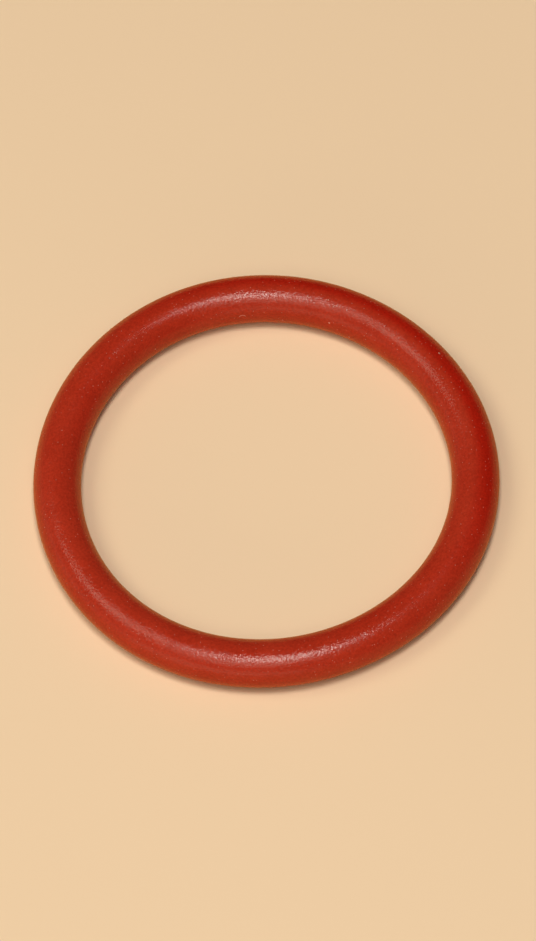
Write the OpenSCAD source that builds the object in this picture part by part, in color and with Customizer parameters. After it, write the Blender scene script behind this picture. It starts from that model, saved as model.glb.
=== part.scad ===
// O-ring moulded in solid red silicone rubber, a sealing ring of round section.
// It is one piece: a circle swept once round the ring's axis.
// Frame: the ring lies flat, its axis is Z, and the origin is on that axis
// at the level the ring rests on.

/* [Ring] */
// Inside diameter of the free ring
inner_d = 27; // [3:0.1:200]
// Diameter of the round section
section_d = 3.5; // [1:0.01:12]

/* [Fineness] */
// Facets round the ring, for the preview
ring_facets = 180; // [48:12:360]
// Facets round the section, for the preview
section_facets = 60; // [24:12:120]

/* [Colour] */
// Silicone red, as red, green and blue
silicone_red = [0.62, 0.15, 0.09]; // [0:0.01:1]

/* [Hidden] */

// Radius of the section, which is also the height of its centre above the rest plane
section_r = section_d / 2;
// Radius of the circle that the section's centre follows
centre_r = inner_d / 2 + section_r;

// The round section, drawn in the plane of the sweep and standing on the rest plane
module ring_section() {
    translate([centre_r, section_r])
        circle(r = section_r, $fn = section_facets);
}

// The ring: its section turned once round the axis, with no flat, step or seam
module o_ring() {
    color(silicone_red)
        rotate_extrude($fn = ring_facets)
            ring_section();
}

o_ring();
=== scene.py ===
"""Dresses the moulded silicone o-ring and sets it on a plain pale floor under soft studio light.

The file is laid out as an add-on, with its pieces listed in a panel, and is run as a script."""

import math
from typing import NamedTuple

import bmesh
import bpy
from mathutils import Euler, Matrix, Vector


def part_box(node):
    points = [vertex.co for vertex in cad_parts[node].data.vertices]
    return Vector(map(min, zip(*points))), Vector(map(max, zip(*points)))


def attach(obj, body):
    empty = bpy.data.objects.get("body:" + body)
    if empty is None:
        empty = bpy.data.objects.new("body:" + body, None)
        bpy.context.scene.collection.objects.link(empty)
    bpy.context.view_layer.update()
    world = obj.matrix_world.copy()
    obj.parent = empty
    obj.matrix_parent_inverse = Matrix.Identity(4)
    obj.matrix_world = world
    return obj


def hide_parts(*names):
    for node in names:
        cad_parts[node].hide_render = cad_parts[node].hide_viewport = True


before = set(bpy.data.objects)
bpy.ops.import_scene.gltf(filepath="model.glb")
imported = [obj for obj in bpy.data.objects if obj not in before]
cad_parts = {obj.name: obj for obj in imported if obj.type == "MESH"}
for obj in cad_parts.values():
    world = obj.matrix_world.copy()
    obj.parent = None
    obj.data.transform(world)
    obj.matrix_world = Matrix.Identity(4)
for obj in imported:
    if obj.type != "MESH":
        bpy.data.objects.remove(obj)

bl_info = {
    "name": "Silicone o-ring",
    "version": (1, 0, 0),
    "blender": (4, 5, 0),
    "location": "View3D > Sidebar > O-ring",
    "description": "A moulded silicone o-ring with its satin rubber, dust and studio",
    "category": "Object",
}

RING_NODE = "o_ring"
MM = 0.001

# The ring's true sizes, to a tenth of a millimetre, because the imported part's facets cut it a little short
RING_LOW, RING_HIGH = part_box(RING_NODE)
OUTER_D = round(RING_HIGH.x - RING_LOW.x, 4)
SECTION_D = round(RING_HIGH.z - RING_LOW.z, 4)


class Speck(NamedTuple):
    """A pale spot on the ring, a dusty grain for most of the list and a painted glint for a few: its place
    in degrees round the ring from +X, and round the section from the outer edge over the top, its radius in
    millimetres and how pale it is."""

    around: float
    section: float
    radius: float
    paleness: float


DUST_AND_GLINTS = (
    Speck(34, 64, 0.095, 1.00),
    Speck(67, 158, 0.085, 0.90),
    Speck(60, 182, 0.090, 0.70),
    Speck(82, 182, 0.085, 0.50),
    Speck(124, 170, 0.075, 0.45),
    Speck(91, 152, 0.060, 0.35),
    Speck(24, 130, 0.060, 0.30),
    Speck(7, 140, 0.070, 0.30),
    Speck(45, 108, 0.060, 0.30),
    Speck(216, 52, 0.060, 0.30),
    Speck(193, 40, 0.070, 0.30),
    Speck(242, 128, 0.085, 0.35),
    Speck(125, 112, 0.055, 0.30),
    Speck(55, 152, 0.060, 0.30),
    Speck(148, 116, 0.055, 0.30),
    Speck(35, 102, 0.060, 0.30),
    Speck(235, 66, 0.060, 0.30),
    # Painted glints: these last three pale spots sit at the end of the highlight and stand for its sparkle,
    # not for dust
    Speck(69, 102, 0.065, 0.90),
    Speck(75, 106, 0.065, 0.80),
    Speck(67, 114, 0.060, 0.80),
)
# Fainter flecks lie all over the ring
FLECK_SPACING = 0.36 * MM
FLECK_RADIUS = 0.05 * MM
FLECK_PALENESS = 0.28

# A short curled fibre: the place of its middle and of the point it curls round, each as an angle round the
# ring and one round the section, then half its width, half its length and how pale it is
FIBRE_MIDDLE = (94.5, 162)
FIBRE_CURL = (94.5, 172)
FIBRE_HALF_WIDTH = 0.045 * MM
FIBRE_HALF_LENGTH = 0.32 * MM
FIBRE_PALENESS = 0.35

# The way the side left without the painted sheen faces, a painted shade there, as an azimuth and an
# elevation, and the widths of the rubber's clouds and of the low swells of its skin
PAINTED_SHADE_FACING = (45, 30)
CLOUD_SIZE = 2.2 * MM
SWELL_SIZE = 1.1 * MM


class Lamp(NamedTuple):
    """A studio lamp: where it stands, seen from the ring, in degrees, how far off and how wide it is in
    metres, its power in watts and its colour."""

    name: str
    azimuth: float
    elevation: float
    distance: float
    width: float
    height: float
    power: float
    colour: tuple


LAMPS = (
    Lamp("overhead_lamp", -80, 82, 0.60, 0.12, 0.12, 1.30, (1.0, 0.99, 0.90)),
    Lamp("upper_softbox", -92, 73, 0.60, 0.13, 0.14, 0.70, (1.0, 0.98, 0.88)),
    Lamp("front_softbox", -102, 56, 0.60, 0.40, 0.22, 0.62, (1.0, 0.97, 0.75)),
    Lamp("low_softbox", -110, 12, 0.60, 0.80, 0.16, 0.50, (1.0, 0.95, 0.60)),
    Lamp("left_window", 180, 60, 0.60, 0.25, 0.25, 0.78, (1.0, 0.97, 0.75)),
    Lamp("low_window", 180, 12, 0.60, 0.60, 0.16, 0.14, (1.0, 0.95, 0.60)),
)

# The side of the room that is brighter, and the colour of its light
ROOM_GLOW_AZIMUTH = -145
ROOM_COLOUR = (1.0, 0.98, 0.75)


class RingShape(bpy.types.PropertyGroup):
    """Sizes of the ring's mesh"""

    outer_d: bpy.props.FloatProperty(
        name="Outside diameter", description="Outside diameter of the free ring", default=OUTER_D,
        unit="LENGTH",
    )
    section_d: bpy.props.FloatProperty(
        name="Section", description="Diameter of the round section", default=SECTION_D, unit="LENGTH",
    )
    lobe_height: bpy.props.FloatProperty(
        name="Lobe height", description="How far the soft ring relaxes out of round, in three shallow lobes",
        default=0.087 * MM, unit="LENGTH",
    )
    lobe_turn: bpy.props.FloatProperty(
        name="Lobe turn", description="Where the first lobe points", default=math.radians(-13),
        subtype="ANGLE",
    )
    around_steps: bpy.props.IntProperty(
        name="Steps around", description="Steps of the sweep round the ring", default=288, min=24,
    )
    section_steps: bpy.props.IntProperty(
        name="Steps in section", description="Sides of the round section", default=72, min=12,
    )


class SiliconeLook(bpy.types.PropertyGroup):
    """Finish of the silicone rubber"""

    body: bpy.props.FloatVectorProperty(
        name="Body", description="Deep brick red of the bare rubber", default=(0.45, 0.0125, 0.0042),
        subtype="COLOR", size=3,
    )
    # Painted sheen: this paler red stands for the broad gloss of the brighter front-left light; the deep
    # body red left on one side is painted shade
    painted_sheen: bpy.props.FloatVectorProperty(
        name="Bloom", description="Duller red of the rubber under its faint bloom",
        default=(0.45, 0.0315, 0.0125), subtype="COLOR", size=3,
    )
    mottle: bpy.props.FloatProperty(
        name="Mottle", description="How much darker the red is in its finest clouds", default=0.24,
        min=0, max=1, subtype="FACTOR",
    )
    # Also the colour of the painted glints among the specks
    dust_and_glints: bpy.props.FloatVectorProperty(
        name="Dust", description="Pale pink of dust on the rubber", default=(0.85, 0.42, 0.34),
        subtype="COLOR", size=3,
    )
    roughness: bpy.props.FloatProperty(
        name="Roughness", description="Satin of the moulded skin", default=0.19,
        min=0, max=1, subtype="FACTOR",
    )
    ior: bpy.props.FloatProperty(
        name="IOR", description="Refraction of the rubber, which sets its gloss", default=1.36, min=1,
    )
    grain_size: bpy.props.FloatProperty(
        name="Grain size", description="Width of the skin's fine grain", default=0.17 * MM, unit="LENGTH",
    )
    grain_depth: bpy.props.FloatProperty(
        name="Grain depth", description="Depth of the skin's fine grain", default=0.032 * MM, unit="LENGTH",
    )


class StudioLook(bpy.types.PropertyGroup):
    """The floor, the surrounding light and the camera"""

    floor: bpy.props.FloatVectorProperty(
        name="Floor", description="Pale cream of the floor", default=(0.88, 0.64, 0.46),
        subtype="COLOR", size=3,
    )
    # Painted reflection: the floor shows this deeper amber only to glossy rays, a painted shade standing for
    # the shaded, red-lit floor beside the ring
    floor_painted_in_gloss: bpy.props.FloatVectorProperty(
        name="Floor in gloss", description="Deeper amber of the floor as the rubber's gloss shows it",
        default=(0.92, 0.42, 0.15), subtype="COLOR", size=3,
    )
    floor_width: bpy.props.FloatProperty(
        name="Floor width", description="Width of the floor", default=6.0, unit="LENGTH",
    )
    room: bpy.props.FloatProperty(
        name="Room light", description="Strength of the room's light, where it is dimmest",
        default=0.02, min=0,
    )
    room_glow: bpy.props.FloatProperty(
        name="Room glow", description="How much brighter the room is to the front left",
        default=0.16, min=0,
    )
    elevation: bpy.props.FloatProperty(
        name="Camera elevation", description="Angle of the view above the floor",
        default=math.radians(60.56), subtype="ANGLE",
    )
    roll: bpy.props.FloatProperty(
        name="Camera roll", description="Turn of the camera about its view", default=math.radians(-2.98),
        subtype="ANGLE",
    )
    distance: bpy.props.FloatProperty(
        name="Camera distance", description="From the camera to the point it looks at", default=0.473,
        unit="LENGTH",
    )
    lens: bpy.props.FloatProperty(
        name="Lens", description="Focal length in millimetres", default=247, unit="CAMERA",
    )
    aim: bpy.props.FloatVectorProperty(
        name="Aim", description="The point on the floor that the camera looks at",
        default=(0.23 * MM, 1.66 * MM, 0), subtype="XYZ", unit="LENGTH", size=3,
    )


class Value:
    """A number socket. Arithmetic on it adds the Math nodes that work the expression out."""

    def __init__(self, nodes, socket):
        self.nodes = nodes
        self.socket = socket

    def __add__(self, other):
        return self.nodes.math("ADD", self, other)

    __radd__ = __add__

    def __sub__(self, other):
        return self.nodes.math("SUBTRACT", self, other)

    def __rsub__(self, other):
        return self.nodes.math("SUBTRACT", other, self)

    def __mul__(self, other):
        return self.nodes.math("MULTIPLY", self, other)

    __rmul__ = __mul__


class Nodes:
    """The node tree of one material or world."""

    def __init__(self, owner):
        owner.use_nodes = True
        self.tree = owner.node_tree
        self.tree.nodes.clear()

    def add(self, kind, settings=None, inputs=None, output=0):
        """Adds a node, sets it up, joins or sets its inputs and gives one of its outputs."""
        node = self.tree.nodes.new(kind)
        for name, setting in (settings or {}).items():
            setattr(node, name, setting)
        for name, value in (inputs or {}).items():
            self.feed(node.inputs[name], value)
        return Value(self, node.outputs[output]) if node.outputs else None

    def feed(self, socket, value):
        """Joins a value to a socket, or sets the socket to a plain number or colour."""
        if isinstance(value, Value):
            self.tree.links.new(value.socket, socket)
        else:
            socket.default_value = value

    def math(self, operation, *values):
        """The result of a Math node on these values."""
        return self.add("ShaderNodeMath", {"operation": operation}, dict(enumerate(values)))

    def noise(self, where, size, detail=2.0, roughness=0.5):
        """Noise from 0 to 1 whose blotches are about as wide as size."""
        inputs = {"Vector": where, "Scale": 1 / size, "Detail": detail, "Roughness": roughness}
        return self.add("ShaderNodeTexNoise", None, inputs)

    def ramp(self, value, low, high, start=0.0, end=1.0, smooth=True):
        """The value carried from low..high to start..end, and held there."""
        kind = "SMOOTHSTEP" if smooth else "LINEAR"
        inputs = {"Value": value, "From Min": low, "From Max": high, "To Min": start, "To Max": end}
        return self.add("ShaderNodeMapRange", {"interpolation_type": kind}, inputs)

    def flecks(self, where, spacing, radius):
        """Small round flecks, 1 at their middles, scattered about spacing apart."""
        off = self.add("ShaderNodeTexVoronoi", {"feature": "F1"}, {"Vector": where, "Scale": 1 / spacing})
        return self.ramp(off, 0.4 * radius / spacing, radius / spacing, 1, 0)

    def mix(self, share, first, second):
        """A colour mixed from two."""
        return self.add("ShaderNodeMix", {"data_type": "RGBA"}, {0: share, 6: first, 7: second}, output=2)

    def along(self, direction, axis):
        """How far a direction or a place lies along an axis."""
        inputs = {0: direction, 1: axis}
        return self.add("ShaderNodeVectorMath", {"operation": "DOT_PRODUCT"}, inputs, output=1)

    def apart(self, where, point):
        """How far a place is from a point."""
        inputs = {0: where, 1: point}
        return self.add("ShaderNodeVectorMath", {"operation": "DISTANCE"}, inputs, output=1)


def rgba(colour):
    """A colour with full alpha."""
    return (*colour, 1.0)


def ring_radius(shape, around):
    """Radius of the section's centre at an angle round the ring, with its shallow lobes."""
    even = (shape.outer_d - shape.section_d) / 2
    return even + shape.lobe_height * math.cos(3 * (around - shape.lobe_turn))


def place_on_ring(shape, around, section):
    """The point of the skin at an angle round the ring and an angle round its section, in degrees."""
    turn, rise = math.radians(around), math.radians(section)
    section_r = shape.section_d / 2
    out = ring_radius(shape, turn) + section_r * math.cos(rise)
    return Vector((out * math.cos(turn), out * math.sin(turn), section_r * (1 + math.sin(rise))))


def fibre_mask(nodes, where, shape):
    """Where the curled fibre lies, from 0 to 1: a short arc about the point it curls round."""
    middle, curl = place_on_ring(shape, *FIBRE_MIDDLE), place_on_ring(shape, *FIBRE_CURL)
    off_arc = nodes.math("ABSOLUTE", nodes.apart(where, curl) - (middle - curl).length)
    thin = nodes.ramp(off_arc, FIBRE_HALF_WIDTH, FIBRE_HALF_WIDTH / 3)
    short = nodes.ramp(nodes.apart(where, middle), FIBRE_HALF_LENGTH, 0.75 * FIBRE_HALF_LENGTH)
    return thin * short


def dust_and_glint_mask(nodes, where, shape):
    """Where the pale spots lie, from 0 to 1: the listed specks, dusty grains but for a few painted glints,
    the fibre and the scattered flecks.
    """
    mask = fibre_mask(nodes, where, shape) * FIBRE_PALENESS
    for speck in DUST_AND_GLINTS:
        point, radius = place_on_ring(shape, speck.around, speck.section), speck.radius * MM
        spot = nodes.ramp(nodes.apart(where, point), radius, radius / 4, 0, speck.paleness)
        mask = nodes.math("MAXIMUM", mask, spot)
    return nodes.math("MAXIMUM", mask, nodes.flecks(where, FLECK_SPACING, FLECK_RADIUS) * FLECK_PALENESS)


def painted_sheen_mask(nodes, where, clouds):
    """Where the rubber has its painted sheen, from 0 to 1: all over and a little uneven with the clouds, but
    left off as painted shade on one side of the ring, where the skin faces one way."""
    facing = nodes.add("ShaderNodeTexCoord", output="Normal")
    painted_shade = nodes.ramp(nodes.along(facing, towards(*PAINTED_SHADE_FACING)), 0.42, 0.74)
    near = nodes.ramp(nodes.along(where, towards(PAINTED_SHADE_FACING[0], 0)), -9 * MM, 0)
    return nodes.ramp(clouds, 0.25, 0.75, 0.85, 1.0) * (1 - painted_shade * near)


def silicone(look, shape):
    """Brick red silicone: satin moulded skin with a fine grain, faint clouds, a few dusty specks and painted
    glints, and a painted sheen that is left off one side as painted shade.
    """
    material = bpy.data.materials.new("silicone")
    nodes = Nodes(material)
    where = nodes.add("ShaderNodeTexCoord", output="Object")

    # The red: its painted sheen, left off one side as painted shade, then a darker mottle of clouds and
    # grain, then the dust and painted glints on it
    clouds = nodes.noise(where, CLOUD_SIZE, detail=3.0)
    grain = nodes.noise(where, look.grain_size, detail=2.0, roughness=0.6)
    sheened = nodes.mix(painted_sheen_mask(nodes, where, clouds), rgba(look.body), rgba(look.painted_sheen))
    darker = nodes.ramp(clouds * 0.2 + grain * 0.8, 0.36, 0.64, look.mottle, 0, smooth=False)
    mottled = nodes.mix(darker, sheened, rgba((0.0, 0.0, 0.0)))
    dust_and_glints = dust_and_glint_mask(nodes, where, shape)
    colour = nodes.mix(dust_and_glints, mottled, rgba(look.dust_and_glints))

    # The skin: grain on low swells, with the dust and the painted glints standing up from it
    swell = nodes.noise(where, SWELL_SIZE, detail=1.0)
    height = grain + swell * 0.6 + dust_and_glints * 1.5
    relief = {"Strength": 1.0, "Distance": look.grain_depth, "Height": height}
    skin = nodes.add("ShaderNodeBump", None, relief)

    # The satin: a little uneven over the clouds, and dull on the dust and the painted glints
    satin = nodes.ramp(clouds, 0.3, 0.7, look.roughness - 0.03, look.roughness + 0.03) + dust_and_glints * 0.3
    shader = nodes.add(
        "ShaderNodeBsdfPrincipled", None,
        {"Base Color": colour, "Roughness": satin, "IOR": look.ior, "Normal": skin},
    )
    nodes.add("ShaderNodeOutputMaterial", None, {"Surface": shader})
    return material


def plain_matt(name, colour, painted_in_gloss):
    """An even matt colour for the floor, which the gloss of what stands on it shows in a deeper painted
    colour, a painted shade in its reflection.
    """
    material = bpy.data.materials.new(name)
    nodes = Nodes(material)
    glossed = nodes.add("ShaderNodeLightPath", output="Is Glossy Ray")
    shown = nodes.mix(glossed, rgba(colour), rgba(painted_in_gloss))
    shader = nodes.add(
        "ShaderNodeBsdfPrincipled", None,
        {"Base Color": shown, "Roughness": 1.0, "Specular IOR Level": 0.0},
    )
    nodes.add("ShaderNodeOutputMaterial", None, {"Surface": shader})
    return material


def new_piece(name, mesh_maker, material):
    """An object made from a bmesh, at the origin, with its place in its mesh."""
    mesh = bpy.data.meshes.new(name)
    bm = mesh_maker()
    bm.to_mesh(mesh)
    bm.free()
    mesh.materials.append(material)
    piece = bpy.data.objects.new(name, mesh)
    bpy.context.scene.collection.objects.link(piece)
    return piece


def ring_mesh(shape):
    """The round section swept once round the axis, then relaxed a little out of round."""
    bm = bmesh.new()
    section_r = shape.section_d / 2
    upright = Matrix.Rotation(math.pi / 2, 4, "X")
    stand = Matrix.Translation((shape.outer_d / 2 - section_r, 0, section_r)) @ upright
    bmesh.ops.create_circle(bm, segments=shape.section_steps, radius=section_r, matrix=stand)
    bmesh.ops.spin(
        bm, geom=bm.verts[:] + bm.edges[:], cent=(0, 0, 0), axis=(0, 0, 1), dvec=(0, 0, 0),
        angle=math.tau, steps=shape.around_steps, use_merge=True, use_duplicate=False,
    )
    even = ring_radius(shape, shape.lobe_turn) - shape.lobe_height
    for vert in bm.verts:
        turn = math.atan2(vert.co.y, vert.co.x)
        vert.co += Vector((math.cos(turn), math.sin(turn), 0)) * (ring_radius(shape, turn) - even)
    bmesh.ops.recalc_face_normals(bm, faces=bm.faces[:])
    for face in bm.faces:
        face.smooth = True
    return bm


def floor_mesh(width):
    """A flat square floor under the ring."""
    bm = bmesh.new()
    bmesh.ops.create_grid(bm, x_segments=1, y_segments=1, size=width / 2)
    return bm


def towards(azimuth, elevation):
    """The unit direction at an azimuth from +X and an elevation above the floor, in degrees."""
    turn, rise = math.radians(azimuth), math.radians(elevation)
    return Vector((math.cos(turn) * math.cos(rise), math.sin(turn) * math.cos(rise), math.sin(rise)))


def hang_lamp(lamp):
    """A soft rectangular lamp that shines at the ring."""
    light = bpy.data.lights.new(lamp.name, "AREA")
    light.shape = "RECTANGLE"
    light.size, light.size_y = lamp.width, lamp.height
    light.energy = lamp.power
    light.color = lamp.colour
    direction = towards(lamp.azimuth, lamp.elevation)
    holder = bpy.data.objects.new(lamp.name, light)
    holder.location = direction * lamp.distance
    holder.rotation_euler = direction.to_track_quat("Z", "Y").to_euler()
    holder.visible_camera = False
    bpy.context.scene.collection.objects.link(holder)


def fill_room(look):
    """The soft light of a room that is brighter to the front left, and a pale background where the camera
    sees past the floor."""
    world = bpy.data.worlds.new("room")
    bpy.context.scene.world = world
    nodes = Nodes(world)
    seen = nodes.add("ShaderNodeLightPath", output="Is Camera Ray")
    direction = nodes.add("ShaderNodeTexCoord", output="Generated")
    glow = nodes.math("MAXIMUM", nodes.along(direction, towards(ROOM_GLOW_AZIMUTH, 0)), 0)
    strength = glow * look.room_glow + look.room
    lit = nodes.add("ShaderNodeBackground", None, {"Color": rgba(ROOM_COLOUR), "Strength": strength})
    backdrop = nodes.add("ShaderNodeBackground", None, {"Color": rgba(look.floor), "Strength": 1.0})
    surface = nodes.add("ShaderNodeMixShader", None, {0: seen, 1: lit, 2: backdrop})
    nodes.add("ShaderNodeOutputWorld", None, {"Surface": surface})


def set_camera(look):
    """The camera, looking down at the ring along +Y."""
    lens = bpy.data.cameras.new("camera")
    lens.lens = look.lens
    camera = bpy.data.objects.new("camera", lens)
    back = towards(-90, math.degrees(look.elevation))
    tilt = Euler((math.pi / 2 - look.elevation, 0, 0)).to_matrix().to_4x4()
    place = Matrix.Translation(Vector(look.aim) + back * look.distance)
    camera.matrix_world = place @ tilt @ Matrix.Rotation(look.roll, 4, "Z")
    bpy.context.scene.collection.objects.link(camera)
    bpy.context.scene.camera = camera


class ORING_OT_ring(bpy.types.Operator):
    """Sweep the ring and give it its silicone"""

    bl_idname = "oring.ring"
    bl_label = "Moulded ring"

    def execute(self, context):
        shape = context.scene.ring_shape
        material = silicone(context.scene.silicone_look, shape)
        ring = new_piece("moulded_ring", lambda: ring_mesh(shape), material)
        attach(ring, "root")
        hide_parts(RING_NODE)
        return {"FINISHED"}


class ORING_OT_stage(bpy.types.Operator):
    """Lay the floor, hang the lamps and set the camera"""

    bl_idname = "oring.stage"
    bl_label = "Stage"

    def execute(self, context):
        look = context.scene.studio_look
        cream = plain_matt("floor_cream", look.floor, look.floor_painted_in_gloss)
        floor = new_piece("floor", lambda: floor_mesh(look.floor_width), cream)
        for lamp in LAMPS:
            hang_lamp(lamp)
        fill_room(look)
        set_camera(look)
        context.scene.view_settings.view_transform = "Standard"
        return {"FINISHED"}


class ORING_PT_panel(bpy.types.Panel):
    """The ring's sizes, finish and studio"""

    bl_idname = "ORING_PT_panel"
    bl_label = "O-ring"
    bl_space_type = "VIEW_3D"
    bl_region_type = "UI"
    bl_category = "O-ring"

    def draw(self, context):
        scene = context.scene
        for group in (scene.ring_shape, scene.silicone_look, scene.studio_look):
            box = self.layout.box()
            for name in group.__annotations__:
                box.prop(group, name)
        self.layout.operator(ORING_OT_ring.bl_idname)
        self.layout.operator(ORING_OT_stage.bl_idname)


CLASSES = (RingShape, SiliconeLook, StudioLook, ORING_OT_ring, ORING_OT_stage, ORING_PT_panel)
GROUPS = {"ring_shape": RingShape, "silicone_look": SiliconeLook, "studio_look": StudioLook}


def register():
    for cls in CLASSES:
        bpy.utils.register_class(cls)
    for name, group in GROUPS.items():
        setattr(bpy.types.Scene, name, bpy.props.PointerProperty(type=group))


def unregister():
    for name in GROUPS:
        delattr(bpy.types.Scene, name)
    for cls in reversed(CLASSES):
        bpy.utils.unregister_class(cls)


def main():
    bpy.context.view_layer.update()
    register()
    bpy.ops.oring.ring()
    bpy.ops.oring.stage()


if __name__ == "__main__":
    main()
